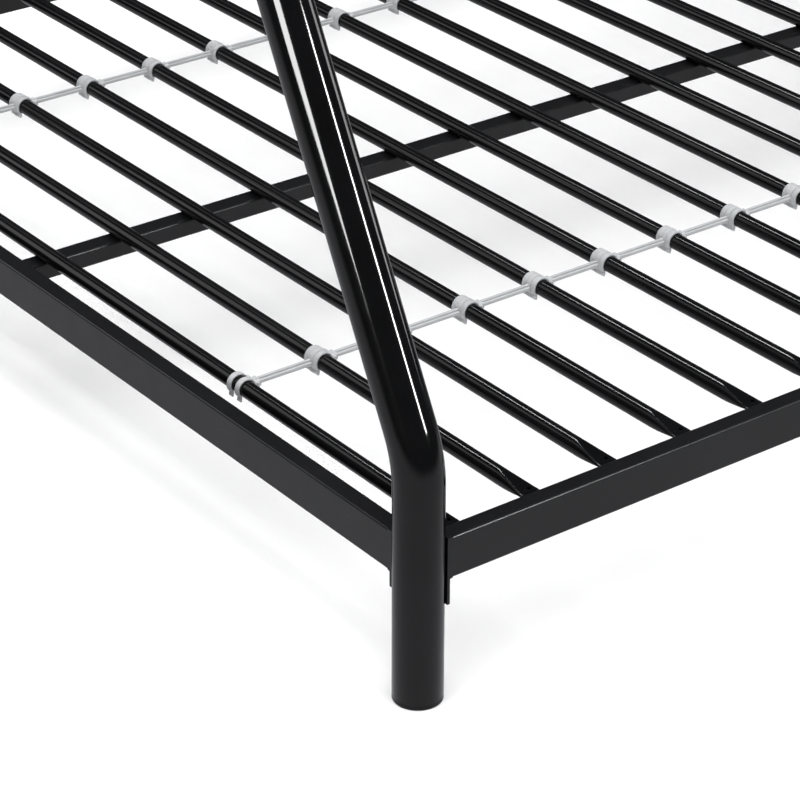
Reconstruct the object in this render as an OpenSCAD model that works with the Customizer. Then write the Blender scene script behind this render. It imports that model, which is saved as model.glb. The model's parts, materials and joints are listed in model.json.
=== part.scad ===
// Two-deck metal bed frame: a wide lower slat deck, dog-leg corner posts and a narrow upper deck.
// Origin: floor, middle of the footprint. X runs along the bed, Y across it, Z is up.

/* [Posts] */
// Outside diameter of the corner post tube
post_d = 48.5; // [40:0.5:60]
// Wall thickness of the corner post tube
post_wall = 1.5; // [1:0.1:3]
// Post axis to post axis along the bed
span_l = 1956; // [1900:1:2100]
// Post axis to post axis across the lower deck
span_w = 1442; // [1300:1:1600]
// Inward step of each post above the lower deck
step_in = 213; // [150:1:260]
// Lean of the sloping part of a post from vertical
lean = 27.8; // [20:0.1:40]
// Height where the sloping part starts
bend_z = 253.2; // [230:0.1:300]
// Centre-line radius of the post bends
bend_r = 120; // [90:1:150]
// Height of the joint between lower post and upper hoop
split_z = 900; // [860:1:950]
// Height of the hoop's top tube axis
hoop_z = 1640; // [1600:1:1700]
// Centre-line radius of the hoop's corners
hoop_r = 110; // [80:1:150]
// Thickness of a foot cap under the post
foot_h = 4; // [3:0.5:8]

/* [Rails] */
// Width of the rectangular rail tube
rail_w = 20; // [16:0.5:30]
// Height of the rectangular rail tube
rail_h = 43.7; // [35:0.1:50]
// Wall thickness of the rail tube
rail_wall = 1.5; // [1:0.1:2.5]
// Corner radius of the rail tube
rail_r = 2.4; // [1.8:0.1:4]
// Height of the lower rail's top face
deck_z = 171.5; // [165:0.1:180]
// Height of the upper rail's top face
upper_z = 1180; // [1150:1:1220]
// Outward offset of an end rail's centre line from the post axes
end_out = 2.5; // [0:0.1:4]
// Outward offset of a side rail's centre line from the post axes
side_out = 6.7; // [5:0.1:7]
// Width of the centre beam
beam_w = 24; // [20:1:30]
// Height of the centre beam
beam_h = 20; // [16:1:28]

/* [Slats] */
// Diameter of a slat tube
slat_d = 17.6; // [16:0.1:18]
// Wall thickness of a slat tube
slat_wall = 1.2; // [0.8:0.1:2]
// Number of slats in a deck
slat_count = 21; // [18:1:21]
// Slat axis to slat axis
slat_pitch = 93.8; // [90:0.1:94]
// Slat axis below the rail's top face
slat_drop = 4.8; // [4:0.1:6]
// Width of a slat's flattened end
tab_w = 24; // [20:1:26]
// Thickness of a slat's flattened end
tab_t = 2.6; // [2:0.1:4]

/* [Slat links] */
// Width of one clip ring along the slat
ring_w = 6.8; // [5:0.1:7]
// Outside radius of a clip ring
ring_r = 11.2; // [11:0.1:12]
// Place of the lower deck's front link strip, across the bed
lower_front_link_y = -379.5; // [-450:0.5:-300]
// Place of the lower deck's rear link strip, across the bed
lower_rear_link_y = 362; // [300:0.5:450]
// Distance of each upper link strip from the middle
upper_link_y = 250; // [200:1:300]

/* [Guard rails and ladder] */
// Diameter of the guard's top tube and the ladder tubes
guard_d = 25; // [22:1:28]
// Height of the guard's top tube axis
guard_z = 1490; // [1470:1:1500]
// Diameter of the guard's bars and the hoop's bars
bar_d = 16; // [14:1:20]
// Where the front guard's bent end comes down, along the bed
guard_end_x = 575; // [500:1:600]
// Middle of the ladder, along the bed
ladder_x = 765; // [740:1:780]
// Ladder stile axis to stile axis
ladder_w = 300; // [280:1:320]
// Height of the lowest rung above the lower rail
rung_first = 200; // [180:1:220]
// Rung to rung
rung_pitch = 200; // [180:1:210]

/* [Hidden] */
$fn = 64;

half_l = span_l / 2;
half_w = span_w / 2;
half_u = half_w - step_in;
post_r = post_d / 2;
LEFT = -1;
RIGHT = 1;
FRONT = -1;
REAR = 1;

// post bends: tangent length and height of the upper bend
tangent = bend_r * tan(lean / 2);
bend2_z = bend_z + step_in / tan(lean);
// rings in each bend of a post, and sides of each ring
bend_steps = 6;
post_sides = 32;

// rail ends: plate thickness and where the welded plate starts, from the post axis
plate_t = 3;
side_plate_x = 20.5;
end_plate_y = 24;
side_plate_drop = 27;
end_plate_drop = 16;
// hook lugs: size, heights from the rail's top, and places from the post axis
hook_t = 2.4;
hook_h = 10;
hook_dz = [-12, -32];
side_hook_y = -15.5;
end_hook_x = -11;

// slat ends: the underside is flat for tab_len, the top for tab_flat
tab_len = 16;
tab_flat = 4;
taper_len = 30;
tab_top = 3.2;
tab_hole_d = 4;
tab_hole_x = 3;
tongue_w = 14;
tongue_l = 13;
tongue_t = 2.4;

// clip rings
clip_play = 0.1;
ring_gap = 7.4;
clip_mouth = 10;
clip_tail = 3.5;
clip_tail_x = 8.2;
link_bar_w = 5.6;
link_bar_h = 4;
bridge_t = 3;
bridge_h = 8;

guard_bar_z = [upper_z + 88, upper_z + 166, upper_z + 244];
guard_bend_r = 60;
upright_d = 19;
hoop_bar_z = [upper_z + 120, upper_z + 230, upper_z + 340];
head_bar_z = [720, 850];
bracket_t = 2.5;
saddle_l = 44;
small_bolt_d = 6;
connector_l = 160;
joint_play = 0.2;
cap_h = 5;

stile_low_y = half_w + side_out;
stile_top_y = half_u + side_out + rail_w / 2 + bracket_t + guard_d / 2 + 0.5;
stile_low_z = deck_z + bracket_t;
stile_tilt = atan((stile_low_y - stile_top_y) / (upper_z - rail_h / 2 - stile_low_z));
stile_top_z = upper_z + 14;

black = "#2b2c2e";
plastic_black = "#1b1b1c";
clip_grey = "#cfd1d3";
zinc = "#8c8f92";

function slat_x(i) = (i - (slat_count - 1) / 2) * slat_pitch;

// ---- shared shapes ----

module ring_2d(d, wall) {
    difference() {
        circle(d = d);
        circle(d = d - 2 * wall);
    }
}

module tube(d, wall, h) {
    linear_extrude(h) ring_2d(d, wall);
}

// a bend of a round tube: in the XZ plane, from angle a0 counter-clockwise by sweep
module tube_bend(d, wall, r, a0, sweep) {
    rotate([90, 0, 0]) rotate([0, 0, a0])
        rotate_extrude(angle = sweep) translate([r, 0]) ring_2d(d, wall);
}

module round_rect_2d(w, h, r) {
    square([w - 2 * r, h], center = true);
    square([w, h - 2 * r], center = true);
    for (x = [-1, 1], y = [-1, 1])
        translate([x * (w / 2 - r), y * (h / 2 - r)]) circle(r = r);
}

// rectangular tube along +Z of the given section
module box_tube(w, h, wall, r, len) {
    linear_extrude(len) difference() {
        round_rect_2d(w, h, r);
        round_rect_2d(w - 2 * wall, h - 2 * wall, max(0.4, r - wall));
    }
}

// tube along X or Y, centred on the origin
module tube_x(d, wall, len) {
    translate([-len / 2, 0, 0]) rotate([0, 90, 0]) tube(d, wall, len);
}

module tube_y(d, wall, len) {
    translate([0, len / 2, 0]) rotate([90, 0, 0]) tube(d, wall, len);
}

// puts children at a corner; they are drawn for the front left corner, outwards -X and -Y
module corner(sx, sy, half_y) {
    translate([sx * half_l, sy * half_y, 0])
        mirror([sx > 0 ? 1 : 0, 0, 0]) mirror([0, sy > 0 ? 1 : 0, 0]) children();
}

// ---- posts ----

// the post's centre line in the XZ plane, stepping towards +X: [x, z, tilt] at each ring
post_path = concat(
    [[0, foot_h, 0]],
    [for (k = [0 : bend_steps]) let (a = lean * k / bend_steps)
        [bend_r * (1 - cos(a)), bend_z - tangent + bend_r * sin(a), a]],
    [for (k = [0 : bend_steps]) let (a = lean * (1 - k / bend_steps))
        [step_in - bend_r * (1 - cos(a)), bend2_z + tangent - bend_r * sin(a), a]],
    [[step_in, split_z, 0]]);

function path_rings(path, r) = [for (p = path, j = [0 : post_sides - 1])
    let (f = 360 * j / post_sides)
    [p[0] + r * cos(f) * cos(p[2]), r * sin(f), p[1] - r * cos(f) * sin(p[2])]];

// a tube swept along such a path, as one closed shell
module swept_tube(path, d, wall) {
    n = post_sides;
    last = len(path) - 1;
    inner = n * len(path);
    outside = [for (i = [0 : last - 1], j = [0 : n - 1]) let (k = (j + 1) % n)
        [i * n + j, (i + 1) * n + j, (i + 1) * n + k, i * n + k]];
    inside = [for (f = outside) [inner + f[0], inner + f[3], inner + f[2], inner + f[1]]];
    low_end = [for (j = [0 : n - 1]) let (k = (j + 1) % n) [j, k, inner + k, inner + j]];
    top_end = [for (f = low_end) [for (i = [0, 3, 2, 1]) f[i] + last * n]];
    polyhedron(points = concat(path_rings(path, d / 2), path_rings(path, d / 2 - wall)),
        faces = concat(outside, inside, low_end, top_end));
}

module lower_post(sx, sy) {
    color(black) corner(sx, sy, half_w) rotate([0, 0, 90])
        swept_tube(post_path, post_d, post_wall);
}

// cap with a spigot inside the tube
module foot_cap(sx, sy) {
    spigot_d = post_d - 2 * post_wall - joint_play;
    color(plastic_black) translate([sx * half_l, sy * half_w, 0]) {
        cylinder(d = post_d - 2, h = 1);
        translate([0, 0, 1]) cylinder(d = post_d, h = foot_h - 1);
        translate([0, 0, foot_h]) tube(spigot_d, 3, 22);
    }
}

// the upper hoop: two legs, two bent corners and the top tube, across the bed
module upper_hoop(sx) {
    leg_len = hoop_z - hoop_r - split_z;
    color(black) translate([sx * half_l, 0, 0]) rotate([0, 0, 90]) {
        for (side = [-1, 1]) translate([side * half_u, 0, split_z])
            tube(post_d, post_wall, leg_len);
        translate([half_u - hoop_r, 0, hoop_z - hoop_r])
            tube_bend(post_d, post_wall, hoop_r, 0, 90);
        translate([-half_u + hoop_r, 0, hoop_z - hoop_r])
            tube_bend(post_d, post_wall, hoop_r, 90, 90);
        translate([0, 0, hoop_z]) tube_x(post_d, post_wall, 2 * (half_u - hoop_r));
    }
}

module post_connectors() {
    sleeve_d = post_d - 2 * post_wall - joint_play;
    color(black) for (sx = [LEFT, RIGHT], sy = [FRONT, REAR])
        translate([sx * half_l, sy * half_u, split_z - connector_l / 2])
            tube(sleeve_d, 2, connector_l);
}

// button-head screws on the outer face of each post joint
module connector_screws() {
    for (sx = [LEFT, RIGHT], sy = [FRONT, REAR], dz = [-40, 40])
        color(zinc) translate([sx * (half_l + post_r), sy * half_u, split_z + dz])
            rotate([0, sx * 90, 0]) button_screw(2 * post_wall);
}

// screw with a low domed head and a hexagon recess, head outwards along +Z
module button_screw(grip) {
    difference() {
        union() {
            cylinder(d = 13, h = 1.5);
            translate([0, 0, 1.5]) intersection() {
                translate([0, 0, -6]) sphere(r = 8.85);
                cylinder(d = 13, h = 3);
            }
        }
        translate([0, 0, 1]) cylinder(d = 5, h = 4, $fn = 6);
    }
    translate([0, 0, -grip]) cylinder(d = small_bolt_d, h = grip);
}

// cross bars between the posts; their ends are cut to the round of the posts
module cross_bars(sx, heights, d) {
    color(black) difference() {
        for (z = heights) translate([sx * half_l, 0, z]) tube_y(d, 1.2, 2 * half_u);
        for (sy = [FRONT, REAR]) translate([sx * half_l, sy * half_u, heights[0] - 50])
            cylinder(d = post_d, h = heights[len(heights) - 1] - heights[0] + 100);
    }
}

// ---- rails ----

module end_rail(sx, half_y, top_z) {
    len = 2 * (half_y - end_plate_y - 2 * plate_t);
    color(black) translate([sx * (half_l + end_out), len / 2, top_z - rail_h / 2])
        rotate([90, 0, 0]) box_tube(rail_w, rail_h, rail_wall, rail_r, len);
}

module side_rail(sy, half_y, top_z) {
    len = 2 * (half_l - side_plate_x - 2 * plate_t);
    color(black) translate([-len / 2, sy * (half_y + side_out), top_z - rail_h / 2])
        rotate([90, 0, 90]) box_tube(rail_w, rail_h, rail_wall, rail_r, len);
}

// flat plates welded on the posts: one faces the side rail, one faces the end rail
module post_plates(half_y, top_z) {
    color(black) for (sx = [LEFT, RIGHT], sy = [FRONT, REAR]) corner(sx, sy, half_y)
        difference() {
            union() {
                side_plate(top_z);
                end_plate(top_z);
            }
            translate([0, 0, top_z - 100]) cylinder(d = post_d, h = 120);
        }
}

module side_plate(top_z) {
    h = rail_h + side_plate_drop;
    difference() {
        translate([side_plate_x, -side_out - rail_w / 2, top_z - h])
            cube([plate_t, rail_w, h]);
        side_hooks(top_z, joint_play);
    }
}

module end_plate(top_z) {
    h = rail_h + end_plate_drop;
    difference() {
        translate([-end_out - rail_w / 2, end_plate_y, top_z - h])
            cube([rail_w, plate_t, h]);
        end_hooks(top_z, joint_play);
    }
}

// hook lugs of a rail's end plate; gap widens them to cut the slots
module side_hooks(top_z, gap) {
    for (dz = hook_dz)
        translate([side_plate_x - gap, side_hook_y - gap, top_z + dz - hook_h / 2 - gap])
            cube([plate_t + 2 * gap, hook_t + 2 * gap, hook_h + 2 * gap]);
}

module end_hooks(top_z, gap) {
    for (dz = hook_dz)
        translate([end_hook_x - gap, end_plate_y - gap, top_z + dz - hook_h / 2 - gap])
            cube([hook_t + 2 * gap, plate_t + 2 * gap, hook_h + 2 * gap]);
}

// plates that close the rail ends and carry the hook lugs
module rail_end_plates(half_y, top_z) {
    color(black) for (sx = [LEFT, RIGHT], sy = [FRONT, REAR]) corner(sx, sy, half_y)
        difference() {
            union() {
                translate([side_plate_x + plate_t, -side_out - rail_w / 2, top_z - rail_h])
                    cube([plate_t, rail_w, rail_h]);
                side_hooks(top_z, 0);
                translate([-end_out - rail_w / 2, end_plate_y + plate_t, top_z - rail_h])
                    cube([rail_w, plate_t, rail_h]);
                end_hooks(top_z, 0);
            }
            translate([0, 0, top_z - 100]) cylinder(d = post_d, h = 120);
        }
}

// ---- centre beam ----

beam_top = deck_z - slat_drop - slat_d / 2;
beam_half = half_l + end_out - rail_w / 2 - bracket_t;

module lower_centre_beam() {
    color(black) translate([-beam_half, 0, beam_top - beam_h / 2])
        rotate([90, 0, 90]) box_tube(beam_w, beam_h, 1.2, 2, 2 * beam_half);
}

module lower_beam_brackets() {
    shelf_l = 32;
    color(black) for (sx = [LEFT, RIGHT]) mirror([sx > 0 ? 1 : 0, 0, 0])
        translate([-beam_half - bracket_t, 0, 0]) difference() {
            union() {
                translate([0, -20, beam_top - beam_h - bracket_t])
                    cube([bracket_t, 40, beam_h + bracket_t + 2]);
                translate([0, -beam_w / 2, beam_top - beam_h - bracket_t])
                    cube([shelf_l, beam_w, bracket_t]);
            }
            translate([20, 0, beam_top - beam_h - 5])
                cylinder(d = small_bolt_d + 0.5, h = 10);
        }
}

module lower_beam_bolts() {
    color(zinc) for (sx = [LEFT, RIGHT])
        translate([sx * (beam_half + bracket_t - 20), 0, beam_top - beam_h - bracket_t])
            rotate([180, 0, 0]) button_screw(bracket_t);
}

// ---- slats ----

// one slat along Y, its axis at z = 0; end_y is where its flat end meets the rail
module slat(end_y) {
    tube_half = end_y - tab_len - taper_len;
    difference() {
        union() {
            rotate([90, 0, 0]) translate([0, 0, -tube_half])
                cylinder(d = slat_d, h = 2 * tube_half);
            slat_end(end_y);
            mirror([0, 1, 0]) slat_end(end_y);
        }
        rotate([90, 0, 0]) translate([0, 0, -tube_half + 1])
            cylinder(d = slat_d - 2 * slat_wall, h = 2 * tube_half - 2);
        for (sy = [-1, 1]) translate([tab_hole_x, sy * (end_y - tab_len / 2), 0])
            cylinder(d = tab_hole_d, h = slat_d, center = true);
    }
}

// pressed end: the round tube is squeezed to a flat tab that is wider than the tube
module slat_end(end_y) {
    y0 = end_y - tab_len - taper_len;
    y1 = end_y - tab_len;
    intersection() {
        rotate([90, 0, 90]) linear_extrude(tab_w, center = true) polygon([
            [y0, -slat_d / 2], [y1, tab_top - tab_t], [end_y, tab_top - tab_t],
            [end_y, tab_top], [end_y - tab_flat, tab_top], [y0, slat_d / 2]]);
        union() {
            translate([0, end_y, 0]) rotate([90, 0, 0])
                cylinder(d = slat_d, h = tab_len + taper_len);
            linear_extrude(slat_d, center = true) polygon([
                [-slat_d / 2 + 1, y0 + 12], [slat_d / 2 - 1, y0 + 12],
                [tab_w / 2 - 2, y1], [tab_w / 2, end_y - tab_flat], [tab_w / 2 - 3, end_y],
                [-tab_w / 2 + 3, end_y], [-tab_w / 2, end_y - tab_flat],
                [-tab_w / 2 + 2, y1]]);
        }
    }
}

module slats(half_y, top_z) {
    end_y = half_y + side_out - rail_w / 2;
    color(black) for (i = [0 : slat_count - 1])
        translate([slat_x(i), 0, top_z - slat_drop]) slat(end_y);
}

// small ledges welded to the side rail's inner face, one under each slat end
module slat_tongues(sy, half_y, top_z) {
    rail_in = half_y + side_out - rail_w / 2;
    color(black) for (i = [0 : slat_count - 1])
        translate([slat_x(i) - tongue_w / 2, sy * (rail_in - tongue_l / 2) - tongue_l / 2,
            top_z - slat_drop + tab_top - tab_t - tongue_t])
            cube([tongue_w, tongue_l, tongue_t]);
}

// ---- slat links ----

// a clip ring, open at the bottom, in the XZ plane and centred on y
module clip_ring(y) {
    translate([0, y + ring_w / 2, 0]) rotate([90, 0, 0]) linear_extrude(ring_w)
        difference() {
            union() {
                circle(r = ring_r);
                translate([-clip_tail_x, -ring_r - clip_tail + 3])
                    square([2 * clip_tail_x, 6]);
            }
            circle(r = slat_d / 2 + clip_play);
            translate([-clip_mouth / 2, -20]) square([clip_mouth, 16]);
        }
}

// one link: a fork of two rings on this slat, a bar, and one ring on the next slat
module link() {
    ring_y = (ring_w + ring_gap) / 2;
    fork_w = 2 * ring_w + ring_gap;
    for (y = [-ring_y, ring_y]) {
        clip_ring(y);
        translate([ring_r - 1.6, y - ring_w / 2, -bridge_h / 2])
            cube([3, ring_w, bridge_h]);
    }
    translate([ring_r + 1, -fork_w / 2, -bridge_h / 2 - 1])
        cube([bridge_t, fork_w, bridge_h]);
    translate([ring_r + bridge_t, -link_bar_w / 2, -link_bar_h / 2])
        cube([slat_pitch - 2 * ring_r - bridge_t + 1, link_bar_w, link_bar_h]);
    translate([ring_r + bridge_t, -1.2, -link_bar_h / 2])
        cube([slat_pitch - 2 * ring_r - bridge_t + 1, 2.4, link_bar_h + 1.6]);
    translate([slat_pitch, 0, 0]) clip_ring(0);
}

module link_strip(y, top_z) {
    color(clip_grey) for (i = [0 : slat_count - 2])
        translate([slat_x(i), y, top_z - slat_drop]) link();
}

// ---- guard rails ----

guard_y = half_u + side_out;
front_guard_x = [-620, -260, 100, 440];
rear_guard_x = [-640, -215, 215, 640];

// where the hoop's legs stand, as cutters for bars that meet them
module leg_cutters(sy) {
    for (sx = [LEFT, RIGHT]) translate([sx * half_l, sy * half_u, upper_z])
        cylinder(d = post_d, h = hoop_z - upper_z);
}

module front_guard_top_rail() {
    run = guard_end_x - guard_bend_r + half_l;
    color(black) difference() {
        union() {
            translate([-half_l, -guard_y, guard_z]) rotate([0, 90, 0])
                tube(guard_d, 1.5, run);
            translate([guard_end_x - guard_bend_r, -guard_y, guard_z - guard_bend_r])
                tube_bend(guard_d, 1.5, guard_bend_r, 0, 90);
            translate([guard_end_x, -guard_y, upper_z + bracket_t])
                tube(guard_d, 1.5, guard_z - guard_bend_r - upper_z - bracket_t);
        }
        leg_cutters(FRONT);
    }
}

module rear_guard_top_rail() {
    color(black) difference() {
        translate([0, guard_y, guard_z]) tube_x(guard_d, 1.5, 2 * half_l);
        leg_cutters(REAR);
    }
}

module guard_uprights(sy, places) {
    color(black) difference() {
        for (x = places) translate([x, sy * guard_y, upper_z + bracket_t])
            tube(upright_d, 1.2, guard_z - upper_z - bracket_t);
        translate([0, sy * guard_y, guard_z]) rotate([0, 90, 0])
            cylinder(d = guard_d, h = span_l, center = true);
    }
}

// bars between the uprights, cut where they meet an upright, a leg or the bent end
module guard_bars(sy, places, x_end) {
    color(black) difference() {
        for (z = guard_bar_z) translate([-half_l, sy * guard_y, z]) rotate([0, 90, 0])
            tube(bar_d, 1.2, x_end + half_l);
        for (x = places) translate([x, sy * guard_y, upper_z])
            cylinder(d = upright_d, h = guard_z - upper_z);
        if (sy == FRONT) translate([guard_end_x, sy * guard_y, upper_z])
            cylinder(d = guard_d, h = guard_z - upper_z);
        leg_cutters(sy);
    }
}

function foot_places(sy) = sy == FRONT ? concat(front_guard_x, [guard_end_x]) : rear_guard_x;

module guard_feet() {
    color(black) for (sy = [FRONT, REAR], x = foot_places(sy))
        translate([x, sy * guard_y, upper_z]) difference() {
            translate([-32, -rail_w / 2 + 1, 0]) cube([64, rail_w - 2, bracket_t]);
            for (dx = [-23, 23]) translate([dx, 0, -1])
                cylinder(d = small_bolt_d + 0.5, h = bracket_t + 2);
        }
}

module guard_bolts() {
    color(zinc) for (sy = [FRONT, REAR], x = foot_places(sy), dx = [-23, 23])
        translate([x + dx, sy * guard_y, upper_z + bracket_t]) button_screw(bracket_t);
}

// ---- ladder ----

module stile_at(x) {
    translate([x, -stile_low_y, stile_low_z]) rotate([-stile_tilt, 0, 0]) children();
}

module ladder_stile(side) {
    len = (stile_top_z - stile_low_z) / cos(stile_tilt);
    color(black) difference() {
        stile_at(ladder_x + side * ladder_w / 2) translate([0, 0, -10])
            tube(guard_d, 1.5, len + 10);
        translate([ladder_x - ladder_w, -stile_low_y - 40, stile_low_z - 40])
            cube([2 * ladder_w, 80, 40]);
        translate([ladder_x - ladder_w, -guard_y - rail_w / 2 - bracket_t, upper_z - 100])
            cube([2 * ladder_w, 60, 140]);
    }
}

module ladder_rung(i) {
    z = deck_z + rung_first + i * rung_pitch;
    y = -stile_low_y + (z - stile_low_z) * tan(stile_tilt);
    color(black) difference() {
        translate([ladder_x, y, z]) tube_x(guard_d, 1.5, ladder_w);
        for (side = [-1, 1]) stile_at(ladder_x + side * ladder_w / 2)
            cylinder(d = guard_d, h = 1100);
    }
}

// a channel that sits over a rail of the given centre line and top
module rail_saddle(x, y, top_z) {
    leg = 26;
    translate([x - saddle_l / 2, y - rail_w / 2 - bracket_t, top_z - leg]) difference() {
        cube([saddle_l, rail_w + 2 * bracket_t, leg + bracket_t]);
        translate([-1, bracket_t, -1]) cube([saddle_l + 2, rail_w, leg + 1]);
    }
}

module ladder_saddles() {
    color(black) for (side = [-1, 1])
        rail_saddle(ladder_x + side * ladder_w / 2, -stile_low_y, deck_z);
}

module ladder_hooks() {
    color(black) for (side = [-1, 1])
        rail_saddle(ladder_x + side * ladder_w / 2, -guard_y, upper_z);
}

module ladder_caps() {
    len = (stile_top_z - stile_low_z) / cos(stile_tilt);
    color(plastic_black) for (side = [-1, 1])
        stile_at(ladder_x + side * ladder_w / 2) translate([0, 0, len]) {
            cylinder(d = guard_d, h = cap_h / 2);
            translate([0, 0, cap_h / 2]) cylinder(d = guard_d - 4, h = cap_h / 2);
        }
}

lower_post(LEFT, FRONT);  // front_left_lower_post
lower_post(LEFT, REAR);  // rear_left_lower_post
lower_post(RIGHT, FRONT);  // front_right_lower_post
lower_post(RIGHT, REAR);  // rear_right_lower_post
foot_cap(LEFT, FRONT);  // front_left_foot_cap
foot_cap(LEFT, REAR);  // rear_left_foot_cap
foot_cap(RIGHT, FRONT);  // front_right_foot_cap
foot_cap(RIGHT, REAR);  // rear_right_foot_cap
end_rail(LEFT, half_w, deck_z);  // lower_left_end_rail
end_rail(RIGHT, half_w, deck_z);  // lower_right_end_rail
side_rail(FRONT, half_w, deck_z);  // lower_front_side_rail
side_rail(REAR, half_w, deck_z);  // lower_rear_side_rail
post_plates(half_w, deck_z);  // lower_post_plates
rail_end_plates(half_w, deck_z);  // lower_rail_end_plates
lower_centre_beam();
lower_beam_brackets();
lower_beam_bolts();
slat_tongues(FRONT, half_w, deck_z);  // lower_front_slat_tongues
slat_tongues(REAR, half_w, deck_z);  // lower_rear_slat_tongues
slats(half_w, deck_z);  // lower_slats
link_strip(lower_front_link_y, deck_z);  // lower_front_link_strip
link_strip(lower_rear_link_y, deck_z);  // lower_rear_link_strip
upper_hoop(LEFT);  // left_upper_hoop
upper_hoop(RIGHT);  // right_upper_hoop
post_connectors();
connector_screws();
cross_bars(LEFT, head_bar_z, guard_d);  // left_head_bars
cross_bars(RIGHT, head_bar_z, guard_d);  // right_head_bars
cross_bars(LEFT, hoop_bar_z, upright_d);  // left_hoop_bars
cross_bars(RIGHT, hoop_bar_z, upright_d);  // right_hoop_bars
end_rail(LEFT, half_u, upper_z);  // upper_left_end_rail
end_rail(RIGHT, half_u, upper_z);  // upper_right_end_rail
side_rail(FRONT, half_u, upper_z);  // upper_front_side_rail
side_rail(REAR, half_u, upper_z);  // upper_rear_side_rail
post_plates(half_u, upper_z);  // upper_post_plates
rail_end_plates(half_u, upper_z);  // upper_rail_end_plates
slat_tongues(FRONT, half_u, upper_z);  // upper_front_slat_tongues
slat_tongues(REAR, half_u, upper_z);  // upper_rear_slat_tongues
slats(half_u, upper_z);  // upper_slats
link_strip(-upper_link_y, upper_z);  // upper_front_link_strip
link_strip(upper_link_y, upper_z);  // upper_rear_link_strip
front_guard_top_rail();
guard_bars(FRONT, front_guard_x, guard_end_x);  // front_guard_bars
guard_uprights(FRONT, front_guard_x);  // front_guard_uprights
rear_guard_top_rail();
guard_bars(REAR, rear_guard_x, half_l);  // rear_guard_bars
guard_uprights(REAR, rear_guard_x);  // rear_guard_uprights
guard_feet();
guard_bolts();
ladder_stile(-1);  // ladder_left_stile
ladder_stile(1);  // ladder_right_stile
ladder_rung(0);  // ladder_rung_1
ladder_rung(1);  // ladder_rung_2
ladder_rung(2);  // ladder_rung_3
ladder_rung(3);  // ladder_rung_4
ladder_saddles();
ladder_hooks();
ladder_caps();
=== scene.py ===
"""Looks of the two-deck metal bed frame.

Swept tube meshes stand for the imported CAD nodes; materials, lights and the camera are added.
"""
import json
import math

import bpy
from mathutils import Matrix, Vector


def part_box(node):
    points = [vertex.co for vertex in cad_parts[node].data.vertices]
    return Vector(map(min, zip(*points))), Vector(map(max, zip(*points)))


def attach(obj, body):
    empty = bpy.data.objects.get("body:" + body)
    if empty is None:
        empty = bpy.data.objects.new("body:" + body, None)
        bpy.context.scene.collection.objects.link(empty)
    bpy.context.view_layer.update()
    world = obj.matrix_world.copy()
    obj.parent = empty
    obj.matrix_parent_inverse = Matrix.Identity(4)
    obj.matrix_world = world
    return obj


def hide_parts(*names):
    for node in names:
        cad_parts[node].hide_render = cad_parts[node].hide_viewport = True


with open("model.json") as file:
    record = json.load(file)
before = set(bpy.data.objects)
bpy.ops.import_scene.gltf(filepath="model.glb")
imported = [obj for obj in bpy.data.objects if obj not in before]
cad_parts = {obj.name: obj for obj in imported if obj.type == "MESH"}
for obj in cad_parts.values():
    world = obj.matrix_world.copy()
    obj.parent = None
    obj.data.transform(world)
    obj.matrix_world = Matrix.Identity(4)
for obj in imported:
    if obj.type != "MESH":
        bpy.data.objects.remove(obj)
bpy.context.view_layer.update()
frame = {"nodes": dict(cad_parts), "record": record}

MM = 0.001

# ---- places and sizes read from the frame ----


def span(node, axis):
    """Lowest and highest value of a CAD node along one axis, 0 to 2."""
    low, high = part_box(node)
    return low[axis], high[axis]


def middle(node, axis):
    low, high = span(node, axis)
    return (low + high) / 2


def extent(node, axis):
    low, high = span(node, axis)
    return high - low


HALF_L = middle("front_right_foot_cap", 0)
HALF_W = middle("rear_left_foot_cap", 1)
POST_R = extent("front_left_foot_cap", 0) / 2
FOOT_TOP = span("front_left_lower_post", 2)[0]
SPLIT_Z = span("front_left_lower_post", 2)[1]
HALF_U = span("left_upper_hoop", 1)[1] - POST_R
HOOP_Z = span("left_upper_hoop", 2)[1] - POST_R
STEP_IN = HALF_W - HALF_U
DECK_Z = span("lower_front_side_rail", 2)[1]
UPPER_Z = span("upper_front_side_rail", 2)[1]

# ---- shape sizes that boxes can't tell, the same as the CAD design's ----

LEAN = math.radians(27.8)
BEND_Z = 253.2 * MM
BEND_R = 120 * MM
HOOP_R = 110 * MM
RAIL_CORNER = 2.4 * MM
SLAT_COUNT = 21
SLAT_PITCH = 93.8 * MM
SLAT_DROP = 4.8 * MM
TAB_HALF = 11.6 * MM
TAB_TOP = 3.2 * MM
TAB_T = 2.6 * MM
TAB_LEN = 16 * MM
TAPER_LEN = 30 * MM
TAB_FLAT = 4 * MM
TAB_HOLE_R = 2 * MM
TAB_HOLE_X = 3 * MM
RING_W = 6.8 * MM
RING_GAP = 7.4 * MM
CLIP_PLAY = 0.1 * MM
GUARD_R = 12.5 * MM
GUARD_BEND_R = 60 * MM
UPRIGHT_R = 9.5 * MM
BAR_R = 8 * MM
INTO_LEG = 8 * MM
INTO_STILE = 2 * MM
UPRIGHTS_MM = {"front": (-620, -260, 100, 440), "rear": (-640, -215, 215, 640)}

# ---- slat and clip radii, from the tops of their nodes above the slats' axis ----

SLAT_Z = DECK_Z - SLAT_DROP
SLAT_R = span("lower_slats", 2)[1] - SLAT_Z
RING_IN = SLAT_R + CLIP_PLAY
RING_OUT = span("lower_front_link_strip", 2)[1] - SLAT_Z

# ---- fineness and small looks of the meshes ----

TUBE_SIDES = 64
THIN_SIDES = 40
BAR_SIDES = 32
BEND_STEPS = 16
SLAT_POINTS = 72
TAPER_STEPS = 18
DISH_DEPTH = 0.3 * MM

# ---- camera, from the near corner post, and where the slats' streak panels hang ----

CAMERA_PLACE = (-1.3929, -1.8188, 1.5656)
CAMERA_TURN, CAMERA_TILT, CAMERA_ROLL = -37.02, 28.67, 0.15
CAMERA_LENS = 134.06
STREAK_X, STREAK_Z, STREAK_WIDTH = -0.08, 2.5, 0.3
FLOOR_R = 3.2


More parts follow.
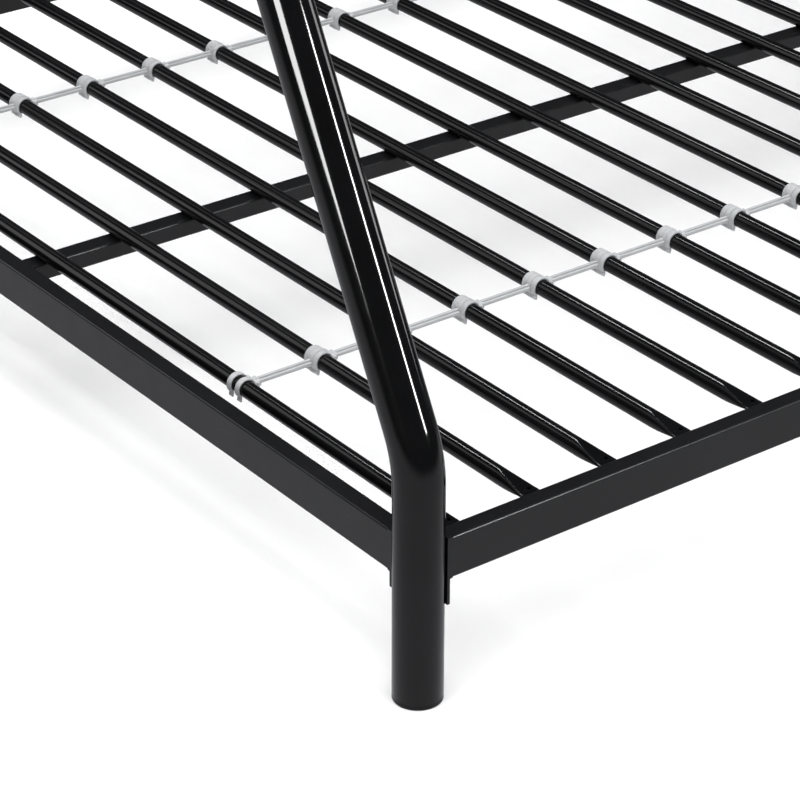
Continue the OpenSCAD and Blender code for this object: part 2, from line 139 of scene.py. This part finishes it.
def slat_x(i):
    return (i - (SLAT_COUNT - 1) / 2) * SLAT_PITCH


# ---- mesh helpers: a shape is (points, faces) ----


def join(shapes):
    points, faces = [], []
    for p, f in shapes:
        start = len(points)
        points += p
        faces += [[i + start for i in face] for face in f]
    return points, faces


def moved(shape, offset):
    points, faces = shape
    return [p + Vector(offset) for p in points], faces


def skin(rings, cap=True):
    """Sides between successive rings of equal length, and flat ends."""
    n = len(rings[0])
    points = [p for ring in rings for p in ring]
    faces = []
    for i in range(len(rings) - 1):
        for j in range(n):
            k = (j + 1) % n
            faces.append([i * n + j, i * n + k, (i + 1) * n + k, (i + 1) * n + j])
    if cap:
        faces.append(list(range(n))[::-1])
        faces.append([(len(rings) - 1) * n + j for j in range(n)])
    return points, faces


def transported_frames(path):
    """A side vector and a second one at each point of a path, without twist."""
    tangents = []
    for i, p in enumerate(path):
        before = path[max(i - 1, 0)]
        after = path[min(i + 1, len(path) - 1)]
        tangents.append((after - before).normalized())
    side = tangents[0].orthogonal().normalized()
    frames = []
    for t in tangents:
        side = (side - t * side.dot(t)).normalized()
        frames.append((side, t.cross(side)))
    return frames


def sweep(path, profile, end_round=0.0):
    """A profile of (u, v) pairs carried along a path; end_round eases the two rims."""
    path = [Vector(p) for p in path]
    frames = transported_frames(path)
    rings = [[p + u * a + v * b for u, v in profile] for p, (a, b) in zip(path, frames)]
    if end_round:
        rings = eased(rings, path, end_round)
    return skin(rings)


def eased(rings, path, size):
    """Adds a small quarter-round rim at both ends of a sweep."""

    def rim(centre, along, ring):
        radius = max((p - centre).length for p in ring)
        made = []
        for step in (0, 1, 2, 3):
            a = math.radians(30 * step)
            inset = size * (1 - math.sin(a)) / radius
            back = size * (1 - math.cos(a))
            made.append([centre + (p - centre) * (1 - inset) + along * back for p in ring])
        return made

    first = (path[1] - path[0]).normalized()
    last = (path[-2] - path[-1]).normalized()
    start = rim(path[0], first, rings[0])
    end = rim(path[-1], last, rings[-1])
    return start + rings[1:-1] + end[::-1]


def circle(radius, sides=TUBE_SIDES):
    return [
        (radius * math.cos(2 * math.pi * k / sides), radius * math.sin(2 * math.pi * k / sides))
        for k in range(sides)
    ]


def round_rect(w, h, r, steps=5, support=0.3 * MM):
    """A rectangle with round corners; support points keep the flat faces flat in shading."""
    made = []
    for cx, cy, start in ((1, 1, 0), (-1, 1, 90), (-1, -1, 180), (1, -1, 270)):
        x, y = cx * (w / 2 - r), cy * (h / 2 - r)
        a0, a1 = math.radians(start), math.radians(start + 90)
        before = Vector((math.sin(a0), -math.cos(a0))) * support
        after = Vector((-math.sin(a1), math.cos(a1))) * support
        made.append((x + r * math.cos(a0) + before.x, y + r * math.sin(a0) + before.y))
        for k in range(steps + 1):
            a = a0 + (a1 - a0) * k / steps
            made.append((x + r * math.cos(a), y + r * math.sin(a)))
        made.append((x + r * math.cos(a1) + after.x, y + r * math.sin(a1) + after.y))
    return made


def tube(path, radius, end_round=0.6 * MM, sides=TUBE_SIDES):
    return sweep(path, circle(radius, sides), end_round)


def arc(centre, radius, first, second, a0, a1, steps=BEND_STEPS):
    """Points from angle a0 to a1, in degrees, in the plane of two unit vectors."""
    made = []
    for k in range(steps + 1):
        a = math.radians(a0 + (a1 - a0) * k / steps)
        made.append(centre + radius * (math.cos(a) * first + math.sin(a) * second))
    return made


# ---- materials ----


def new_material(name):
    m = bpy.data.materials.new(name)
    m.use_nodes = True
    shader = m.node_tree.nodes["Principled BSDF"]
    return m, m.node_tree, shader


def noise(tree, scale, detail=3.0, rough=0.5):
    place = tree.nodes.new("ShaderNodeTexCoord")
    made = tree.nodes.new("ShaderNodeTexNoise")
    made.inputs["Scale"].default_value = scale
    made.inputs["Detail"].default_value = detail
    made.inputs["Roughness"].default_value = rough
    tree.links.new(place.outputs["Object"], made.inputs["Vector"])
    return made


def ramp_to(tree, source, target, low, high, start=0.3, end=0.7):
    """Maps a noise onto a grey or coloured range of a shader socket."""
    ramp = tree.nodes.new("ShaderNodeValToRGB")
    ramp.color_ramp.elements[0].position = start
    ramp.color_ramp.elements[1].position = end
    for element, value in zip(ramp.color_ramp.elements, (low, high)):
        element.color = (*value, 1) if isinstance(value, tuple) else (value, value, value, 1)
    tree.links.new(source.outputs["Fac"], ramp.inputs["Fac"])
    tree.links.new(ramp.outputs["Color"], target)


def bump(tree, shader, source, strength, distance):
    node = tree.nodes.new("ShaderNodeBump")
    node.inputs["Strength"].default_value = strength
    node.inputs["Distance"].default_value = distance
    tree.links.new(source.outputs["Fac"], node.inputs["Height"])
    tree.links.new(node.outputs["Normal"], shader.inputs["Normal"])


def powder_coat(name, dark, light, rough_low, rough_high, specular, peel):
    """Black powder coat: slight mottling, orange peel and uneven gloss."""
    m, tree, shader = new_material(name)
    low, high = [(v, v * 1.04, v * 1.15) for v in (dark, light)]
    ramp_to(tree, noise(tree, 9.0, 4.0), shader.inputs["Base Color"], low, high)
    ramp_to(tree, noise(tree, 38.0, 5.0), shader.inputs["Roughness"], rough_low, rough_high)
    bump(tree, shader, noise(tree, 620.0, 2.0), peel, 0.05 * MM)
    shader.inputs["Specular IOR Level"].default_value = specular
    return m


def moulded_plastic(name, dark, light, rough_low, rough_high):
    """Moulded plastic: fine spark-eroded texture and faint flow marks."""
    m, tree, shader = new_material(name)
    ramp_to(tree, noise(tree, 60.0, 4.0), shader.inputs["Base Color"], dark, light)
    ramp_to(tree, noise(tree, 150.0, 3.0), shader.inputs["Roughness"], rough_low, rough_high)
    bump(tree, shader, noise(tree, 1500.0, 2.0), 0.25, 0.05 * MM)
    shader.inputs["Specular IOR Level"].default_value = 0.4
    return m


def screw_metal(name):
    m, tree, shader = new_material(name)
    ramp_to(tree, noise(tree, 400.0, 4.0), shader.inputs["Base Color"], 0.07, 0.13)
    ramp_to(tree, noise(tree, 900.0, 3.0), shader.inputs["Roughness"], 0.28, 0.5)
    bump(tree, shader, noise(tree, 2500.0, 2.0), 0.2, 0.02 * MM)
    shader.inputs["Metallic"].default_value = 0.9
    return m


POST_COAT = powder_coat("post_coat", 0.002, 0.004, 0.07, 0.10, 0.42, 0.08)
RAIL_COAT = powder_coat("rail_coat", 0.004, 0.007, 0.27, 0.36, 0.50, 0.25)
SLAT_COAT = powder_coat("slat_coat", 0.002, 0.004, 0.11, 0.15, 0.22, 0.03)
CLIP_PLASTIC = moulded_plastic("clip_plastic", (0.41, 0.42, 0.43), (0.46, 0.47, 0.48), 0.38, 0.5)
CAP_PLASTIC = moulded_plastic("cap_plastic", 0.012, 0.018, 0.45, 0.6)
SCREW = screw_metal("dark_zinc")

# ---- pieces ----


def add_object(name, shape):
    """A plain object of a shape, linked to the scene."""
    points, faces = shape
    mesh = bpy.data.meshes.new(name)
    mesh.from_pydata([tuple(p) for p in points], [], faces)
    made = bpy.data.objects.new(name, mesh)
    bpy.context.scene.collection.objects.link(made)
    return made


def piece(name, shape, material, slot, *nodes, sharp=34):
    """One object that stands for CAD nodes and rides on the body."""
    made = add_object(name, shape)
    mesh = made.data
    mesh.polygons.foreach_set("use_smooth", [True] * len(mesh.polygons))
    mesh.set_sharp_from_angle(angle=math.radians(sharp))
    mesh.materials.append(material)
    mesh.update()
    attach(made, "root")
    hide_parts(*nodes)
    return made


def steel(name, shape, material, *nodes, sharp=34):
    return piece(name, shape, material, "black_powder_coat", *nodes, sharp=sharp)


# ---- posts and hoops ----


def post_route(sx, sy):
    """Centre line of a lower post: upright, leaning inwards, upright again."""
    tangent = BEND_R * math.tan(LEAN / 2)
    lean = math.degrees(LEAN)
    top_bend_z = BEND_Z + STEP_IN / math.tan(LEAN)
    base = Vector((sx * HALF_L, sy * HALF_W, 0))
    inward, up = Vector((0, -sy, 0)), Vector((0, 0, 1))
    low = arc(base + inward * BEND_R + up * (BEND_Z - tangent), BEND_R, inward, up, 180, 180 - lean)
    top_centre = base + inward * (STEP_IN - BEND_R) + up * (top_bend_z + tangent)
    high = arc(top_centre, BEND_R, inward, up, -lean, 0)
    return [base + up * FOOT_TOP] + low + high + [base + inward * STEP_IN + up * SPLIT_Z]


def hoop_route(sx):
    """Centre line of an upper hoop: leg, corner, top, corner, leg."""
    y, z = Vector((0, 1, 0)), Vector((0, 0, 1))
    base = Vector((sx * HALF_L, 0, 0))
    corner = HALF_U - HOOP_R
    right = arc(base + y * corner + z * (HOOP_Z - HOOP_R), HOOP_R, y, z, 0, 90)
    left = arc(base - y * corner + z * (HOOP_Z - HOOP_R), HOOP_R, y, z, 90, 180)
    return [base + y * HALF_U + z * SPLIT_Z] + right + left + [base - y * HALF_U + z * SPLIT_Z]


def make_posts():
    for sx, side in ((-1, "left"), (1, "right")):
        for sy, end in ((-1, "front"), (1, "rear")):
            post = tube(post_route(sx, sy), POST_R)
            steel(f"{end}_{side}_post", post, POST_COAT, f"{end}_{side}_lower_post")
        steel(f"{side}_hoop", tube(hoop_route(sx), POST_R), POST_COAT, f"{side}_upper_hoop")


# ---- straight tubes that stand for straight CAD tubes ----


def bar_heights(node, count, radius):
    """Heights of evenly spaced bars that fill a node's box."""
    low, high = span(node, 2)
    first, last = low + radius, high - radius
    return [first + (last - first) * k / (count - 1) for k in range(count)]


def make_end_bars():
    """Bars across the bed between the posts and between the hoop's legs."""
    reach = HALF_U - POST_R * 0.6
    for kind, count in (("head", 2), ("hoop", 3)):
        for side in ("left", "right"):
            node = f"{side}_{kind}_bars"
            x, radius = middle(node, 0), extent(node, 0) / 2
            heights = bar_heights(node, count, radius)
            bars = [tube([(x, -reach, z), (x, reach, z)], radius, 0, THIN_SIDES) for z in heights]
            steel(f"{side}_{kind}_cross_bars", join(bars), POST_COAT, node)


def box_rail(node, along):
    """A rectangular tube with round corners along X (0) or Y (1), the size of its CAD node."""
    low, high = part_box(node)
    w, h = high[1 - along] - low[1 - along], high[2] - low[2]
    profile = round_rect(w, h, RAIL_CORNER)
    length = high[along] - low[along]
    centre = (Vector(low) + Vector(high)) / 2
    across = Vector((0, 1, 0)) if along == 0 else Vector((-1, 0, 0))
    direction = Vector((1, 0, 0)) if along == 0 else Vector((0, 1, 0))
    ends = (centre - direction * length / 2, centre + direction * length / 2)
    up = Vector((0, 0, 1))
    return skin([[e + u * across + v * up for u, v in profile] for e in ends])


def make_rails():
    sides = (("left", "end", 1), ("right", "end", 1), ("front", "side", 0), ("rear", "side", 0))
    for level in ("lower", "upper"):
        for side, kind, along in sides:
            node = f"{level}_{side}_{kind}_rail"
            steel(f"{level}_{side}_rail", box_rail(node, along), RAIL_COAT, node)
    steel("centre_beam", box_rail("lower_centre_beam", 0), RAIL_COAT, "lower_centre_beam")


# ---- slats ----


def slat_section(distance):
    """Outline of a slat near its pressed end: an ellipse between a top and a bottom plane."""
    reach = TAB_LEN + TAPER_LEN
    press = min(max((reach - distance) / (reach - TAB_FLAT), 0.0), 1.0)
    half = SLAT_R + (TAB_HALF - SLAT_R) * press * press
    top = SLAT_R + (TAB_TOP - SLAT_R) * press
    bottom = -SLAT_R + (TAB_TOP - TAB_T + SLAT_R) * press
    dish = DISH_DEPTH * math.sin(math.pi * press)
    outline = even_outline(ellipse_between(half, top, bottom, dish), SLAT_POINTS)
    return softened(softened(outline))


def ellipse_between(half, top, bottom, dish, steps=240):
    """Points of an ellipse cut by a dished top and a flat bottom, from the bottom middle."""
    made = []
    for k in range(steps):
        a = 2 * math.pi * k / steps - math.pi / 2
        x, z = half * math.cos(a), SLAT_R * math.sin(a)
        if z > top:
            edge = half * math.sqrt(max(1 - (top / SLAT_R) ** 2, 1e-6))
            z = top - dish * (1 - min(abs(x) / edge, 1) ** 2)
        made.append((x, max(z, bottom)))
    return made


def even_outline(points, count):
    """The closed outline again with evenly spaced points."""
    ring = points + points[:1]
    steps = [math.dist(p, q) for p, q in zip(ring, ring[1:])]
    total = sum(steps)
    made, walked, i = [], 0.0, 0
    for k in range(count):
        goal = total * k / count
        while walked + steps[i] < goal:
            walked += steps[i]
            i += 1
        t = (goal - walked) / steps[i] if steps[i] else 0.0
        (x0, z0), (x1, z1) = ring[i], ring[i + 1]
        made.append((x0 + (x1 - x0) * t, z0 + (z1 - z0) * t))
    return made


def softened(points):
    """Rounds the corners of an outline by a short moving average."""
    weights = (1, 2, 3, 2, 1)
    n = len(points)
    made = []
    for k in range(n):
        near = [points[(k + j - 2) % n] for j in range(5)]
        total = sum(weights)
        made.append(tuple(sum(w * p[c] for w, p in zip(weights, near)) / total for c in (0, 1)))
    return made


def slat_shape(end_y):
    """One slat along Y with its axis on the X = 0, Z = 0 line."""
    reach = TAB_LEN + TAPER_LEN
    near = [0.0, TAB_FLAT * 0.5, TAB_FLAT]
    near += [TAB_FLAT + (reach - TAB_FLAT) * k / TAPER_STEPS for k in range(1, TAPER_STEPS + 1)]
    near.append(reach + 6 * MM)
    sections = [(-end_y + d, slat_section(d)) for d in near]
    sections += [(end_y - d, slat_section(d)) for d in reversed(near)]
    return skin([[Vector((x, y, z)) for x, z in outline] for y, outline in sections])


def with_tab_holes(shape, end_y):
    """The slat with its two small round holes cut by a boolean."""
    blank = add_object("slat_blank", shape)
    punches = []
    for side in (-1, 1):
        x, y = TAB_HOLE_X, side * (end_y - TAB_LEN / 2)
        punches.append(tube([(x, y, -2 * MM), (x, y, 6 * MM)], TAB_HOLE_R, 0, 20))
    punch = add_object("slat_punch", join(punches))
    cut = blank.modifiers.new("holes", "BOOLEAN")
    cut.operation = "DIFFERENCE"
    cut.object = punch
    cut.solver = "EXACT"
    bpy.context.view_layer.update()
    made = blank.evaluated_get(bpy.context.evaluated_depsgraph_get()).to_mesh()
    result = [v.co.copy() for v in made.vertices], [list(p.vertices) for p in made.polygons]
    for o in (blank, punch):
        bpy.data.objects.remove(o, do_unlink=True)
    return result


def make_slats():
    made = []
    for level, top in (("lower", DECK_Z), ("upper", UPPER_Z)):
        end_y = span(f"{level}_slats", 1)[1]
        one = with_tab_holes(slat_shape(end_y), end_y)
        deck = [moved(one, (slat_x(i), 0, top - SLAT_DROP)) for i in range(SLAT_COUNT)]
        made.append(steel(f"{level}_slat_tubes", join(deck), SLAT_COAT, f"{level}_slats", sharp=40))
    return made


# ---- slat links ----


def band(path, half_width, thickness):
    """A flat strip with eased edges that follows a path in the XZ plane, wide along Y."""
    r = 0.8 * MM
    profile = round_rect(thickness, 2 * half_width, r, 4, 0.15 * MM)
    path = [Vector(p) for p in path]
    rings = []
    for i, p in enumerate(path):
        t = (path[min(i + 1, len(path) - 1)] - path[max(i - 1, 0)]).normalized()
        out = Vector((t.z, 0, -t.x))
        rings.append([p + u * out + Vector((0, v, 0)) for u, v in profile])
    return skin(rings)


def clip_ring(y, proud=0.0):
    """A C-ring around the slat, open below, with two short splayed tails."""
    mid = (RING_IN + RING_OUT) / 2 + proud
    x_axis, z_axis = Vector((1, 0, 0)), Vector((0, 0, 1))
    centre = Vector((0, y, 0))
    gap = 47
    over = arc(centre, mid, x_axis, z_axis, -gap, 180 + gap, 26)
    foot = mid * math.sin(math.radians(gap))
    side = mid * math.cos(math.radians(gap))
    tail = [(side + 0.9 * MM, -foot - 4.6 * MM), (side + 0.1 * MM, -foot - 1.6 * MM)]
    right = [Vector((x, y, z)) for x, z in tail]
    left = [Vector((-x, y, z)) for x, z in reversed(tail)]
    return band(right + over + left, RING_W / 2, RING_OUT - RING_IN)


def block(low, high, r=0.6 * MM):
    """A box with round edges along X."""
    low, high = Vector(low), Vector(high)
    c = (low + high) / 2
    profile = round_rect(high.y - low.y, high.z - low.z, r, 3, 0.15 * MM)
    rings = []
    for x, inset in ((low.x, 0.85), (low.x + r * 0.5, 1), (high.x - r * 0.5, 1), (high.x, 0.85)):
        rings.append([Vector((x, c.y + u * inset, c.z + v * inset)) for u, v in profile])
    return skin(rings)


def link_shape():
    """Fork of two rings, bridge, ridged bar and the single ring on the next slat."""
    ring_y = (RING_W + RING_GAP) / 2
    fork = ring_y + RING_W / 2
    next_ring = moved(clip_ring(0, 0.25 * MM), (SLAT_PITCH, 0, 0))
    parts = [clip_ring(-ring_y), clip_ring(ring_y), next_ring]
    arm_low, arm_high = RING_OUT - 1.6 * MM, RING_OUT + 1.6 * MM
    for y in (-ring_y, ring_y):
        parts.append(block((arm_low, y - 2.9 * MM, -4 * MM), (arm_high, y + 2.9 * MM, 3.6 * MM)))
    parts.append(block((RING_OUT + 1 * MM, -fork, -5 * MM), (RING_OUT + 4 * MM, fork, 3 * MM)))
    start, end = RING_OUT + 3 * MM, SLAT_PITCH - RING_OUT + 0.8 * MM
    parts.append(block((start, -6 * MM, -4 * MM), (start + 6 * MM, 6 * MM, 2.4 * MM), 1 * MM))
    parts.append(block((start, -4.1 * MM, -2.8 * MM), (end, 4.1 * MM, 1.2 * MM), 1.0 * MM))
    parts.append(block((start, -1.7 * MM, -2 * MM), (end, 1.7 * MM, 3.4 * MM), 1.1 * MM))
    return join(parts)


def make_links():
    one = link_shape()
    for level, top in (("lower", DECK_Z), ("upper", UPPER_Z)):
        for side in ("front", "rear"):
            node = f"{level}_{side}_link_strip"
            y = middle(node, 1)
            strip = [moved(one, (slat_x(i), y, top - SLAT_DROP)) for i in range(SLAT_COUNT - 1)]
            piece(f"{level}_{side}_links", join(strip), CLIP_PLASTIC, "clip_plastic", node)


# ---- guard rails ----


def make_guards():
    for side in ("front", "rear"):
        rail = f"{side}_guard_top_rail"
        y = middle(rail, 1)
        z = span(rail, 2)[1] - GUARD_R
        low_x, high_x = span(rail, 0)
        low_x -= INTO_LEG
        if side == "front":
            end_x = high_x - GUARD_R
            centre = Vector((end_x - GUARD_BEND_R, y, z - GUARD_BEND_R))
            bend = arc(centre, GUARD_BEND_R, Vector((1, 0, 0)), Vector((0, 0, 1)), 90, 0)
            route = [Vector((low_x, y, z))] + bend + [Vector((end_x, y, span(rail, 2)[0]))]
        else:
            end_x = high_x + INTO_LEG
            route = [Vector((low_x, y, z)), Vector((end_x, y, z))]
        steel(f"{side}_guard_rail", tube(route, GUARD_R, 0.4 * MM, THIN_SIDES), POST_COAT, rail)
        node = f"{side}_guard_bars"
        heights = bar_heights(node, 3, BAR_R)
        bars = [tube([(low_x, y, h), (end_x, y, h)], BAR_R, 0, BAR_SIDES) for h in heights]
        steel(f"{side}_guard_cross_bars", join(bars), POST_COAT, node)
    for side, places in UPRIGHTS_MM.items():
        node = f"{side}_guard_uprights"
        y = middle(node, 1)
        low, high = span(node, 2)
        ends = [((x * MM, y, low), (x * MM, y, high + 3 * MM)) for x in places]
        made = [tube(route, UPRIGHT_R, 0, BAR_SIDES) for route in ends]
        steel(f"{side}_guard_posts", join(made), POST_COAT, node)


# ---- ladder ----


def make_ladder():
    for side in ("left", "right"):
        node = f"ladder_{side}_stile"
        low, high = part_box(node)
        x = middle(node, 0)
        foot = Vector((x, low[1] + GUARD_R, low[2]))
        head = Vector((x, high[1] - GUARD_R, high[2] - 2 * MM))
        stile = tube([foot, head], GUARD_R, 0.3 * MM, THIN_SIDES)
        steel(f"ladder_{side}_tube", stile, POST_COAT, node)
    for k in range(1, 5):
        node = f"ladder_rung_{k}"
        low, high = span(node, 0)
        y, z = middle(node, 1), middle(node, 2)
        ends = [(low - INTO_STILE, y, z), (high + INTO_STILE, y, z)]
        rung = tube(ends, GUARD_R, 0, THIN_SIDES)
        steel(f"rung_{k}", rung, POST_COAT, node)


# ---- CAD nodes that stay get their materials ----


def dress_cad_nodes():
    coats = {
        "black_powder_coat": RAIL_COAT,
        "clip_plastic": CLIP_PLASTIC,
        "black_plastic": CAP_PLASTIC,
        "zinc_screw": SCREW,
    }
    slots = {row["node"]: row["material_slot"] for row in frame["record"]["subparts"]}
    for name, node in frame["nodes"].items():
        coat = coats[slots[name]]
        if name.endswith("foot_cap"):
            coat = POST_COAT
        if not node.material_slots:
            node.data.materials.append(coat)
        for place in node.material_slots:
            place.material = coat


# ---- floor, light and camera ----


def make_floor():
    """A round pale floor that runs out into the white surround."""
    corners = [(x, y, 0) for x, y in circle(FLOOR_R, 96)]
    floor = add_object("floor", (corners, [list(range(96))]))
    m, tree, shader = new_material("pale_floor")
    ramp_to(tree, noise(tree, 1.5, 2.0), shader.inputs["Base Color"], 0.90, 0.92)
    shader.inputs["Roughness"].default_value = 0.9
    shader.inputs["Specular IOR Level"].default_value = 0.1
    floor.data.materials.append(m)
    floor.visible_glossy = False


def area_light(name, place, target, size, radiance, sheen_only=True):
    """A soft box that faces a point, given its brightness; one for sheen lights no dull surface."""
    data = bpy.data.lights.new(name, "AREA")
    data.shape = "RECTANGLE"
    data.size, data.size_y = size
    data.energy = radiance * math.pi * size[0] * size[1]
    lamp = bpy.data.objects.new(name, data)
    lamp.location = place
    facing = Vector(target) - Vector(place)
    lamp.rotation_mode = "QUATERNION"
    lamp.rotation_quaternion = facing.to_track_quat("-Z", "Y")
    lamp.visible_camera = False
    lamp.visible_glossy = sheen_only
    lamp.visible_diffuse = not sheen_only
    bpy.context.scene.collection.objects.link(lamp)
    return lamp


def grey(value, tint=1.0):
    return (value, value, value * tint, 1)


def colour_mix(tree, factor, a, b):
    """Mixes two colours, given as sockets or values, by a factor socket."""
    mix = tree.nodes.new("ShaderNodeMix")
    mix.data_type = "RGBA"
    tree.links.new(factor, mix.inputs["Factor"])
    sockets = [s for s in mix.inputs if s.type == "RGBA"]
    for socket, value in zip(sockets, (a, b)):
        if isinstance(value, bpy.types.NodeSocket):
            tree.links.new(value, socket)
        else:
            socket.default_value = value
    return [s for s in mix.outputs if s.type == "RGBA"][0]


def make_world():
    """White to the camera; to the rest a mid-grey ground, a dark studio and a bright ceiling."""
    world = bpy.data.worlds.new("studio")
    bpy.context.scene.world = world
    world.use_nodes = True
    tree = world.node_tree
    back = tree.nodes["Background"]
    place = tree.nodes.new("ShaderNodeTexCoord")
    split = tree.nodes.new("ShaderNodeSeparateXYZ")
    tree.links.new(place.outputs["Generated"], split.inputs["Vector"])
    height = tree.nodes.new("ShaderNodeMapRange")
    height.inputs["From Min"].default_value = -1
    tree.links.new(split.outputs["Z"], height.inputs["Value"])
    ramp = tree.nodes.new("ShaderNodeValToRGB")
    stops = ((-0.27, 0.50), (-0.14, 0.04), (0.75, 0.06), (0.95, 0.8))
    while len(ramp.color_ramp.elements) < len(stops):
        ramp.color_ramp.elements.new(0.5)
    for element, (z, value) in zip(ramp.color_ramp.elements, stops):
        element.position = (z + 1) / 2
        element.color = grey(value, 1.04)
    tree.links.new(height.outputs["Result"], ramp.inputs["Fac"])
    path = tree.nodes.new("ShaderNodeLightPath")
    out = colour_mix(tree, path.outputs["Is Camera Ray"], ramp.outputs["Color"], grey(1.0))
    tree.links.new(out, back.inputs["Color"])


def light_only(lamp, objects):
    """Lets a lamp light nothing but the given objects."""
    lit = bpy.data.collections.new(lamp.name + "_lights")
    for o in objects:
        lit.objects.link(o)
    lamp.light_linking.receiver_collection = lit


def make_lights(slats):
    post = Vector((-HALF_L, -HALF_W + 0.1, 0.5))
    deck = Vector((-0.3, -0.3, DECK_Z))
    area_light("overhead", (-0.6, -0.6, 5.0), (0, 0, 0), (8.0, 8.0), 3.6, sheen_only=False)
    rear_place = deck + Vector((-0.53, 0.72, 0.45)) * 3.5
    for name, place, target, size, radiance in (
        ("left_soft_box", (-3.3, -1.3, 1.55), post, (1.0, 1.6), 24),
        ("right_strip", (0.42, -2.9, 1.37), post, (0.23, 1.0), 85),
        ("far_soft_box", (2.4, -0.9, 0.8), post, (0.9, 1.1), 4),
        ("rear_soft_box", rear_place, deck, (1.1, 2.0), 1.7),
    ):
        area_light(name, place, target, size, radiance)
    for near, far, radiance in ((1.0, 1.8, 44), (1.8, 2.0, 11), (2.0, 2.2, 4), (2.2, 3.8, 1.2)):
        y = (near + far) / 2
        place, below = (STREAK_X, y, STREAK_Z), (STREAK_X, y, 0)
        panel = area_light(f"rear_strip_{y:.1f}", place, below, (STREAK_WIDTH, far - near), radiance)
        light_only(panel, slats)


def make_camera():
    """Camera at the photograph's view, placed from the near corner post."""
    data = bpy.data.cameras.new("camera")
    data.sensor_width = 36
    data.lens = CAMERA_LENS
    data.clip_end = 100
    camera = bpy.data.objects.new("camera", data)
    corner = Vector((-HALF_L, -HALF_W, 0))
    camera.location = corner + Vector(CAMERA_PLACE)
    turn, tilt, roll = [math.radians(a) for a in (CAMERA_TURN, CAMERA_TILT, CAMERA_ROLL)]
    back = Vector((math.sin(turn) * math.cos(tilt), -math.cos(turn) * math.cos(tilt), math.sin(tilt)))
    right = Vector((math.cos(turn), math.sin(turn), 0))
    up = back.cross(right)
    axes = Matrix((right, up, back)).transposed() @ Matrix.Rotation(roll, 3, "Z")
    camera.rotation_mode = "QUATERNION"
    camera.rotation_quaternion = axes.to_quaternion()
    bpy.context.scene.collection.objects.link(camera)
    bpy.context.scene.camera = camera


bpy.context.scene.view_settings.view_transform = "Standard"
make_camera()
make_posts()
make_rails()
slat_tubes = make_slats()
make_links()
make_end_bars()
make_guards()
make_ladder()
dress_cad_nodes()
make_floor()
make_world()
make_lights(slat_tubes)
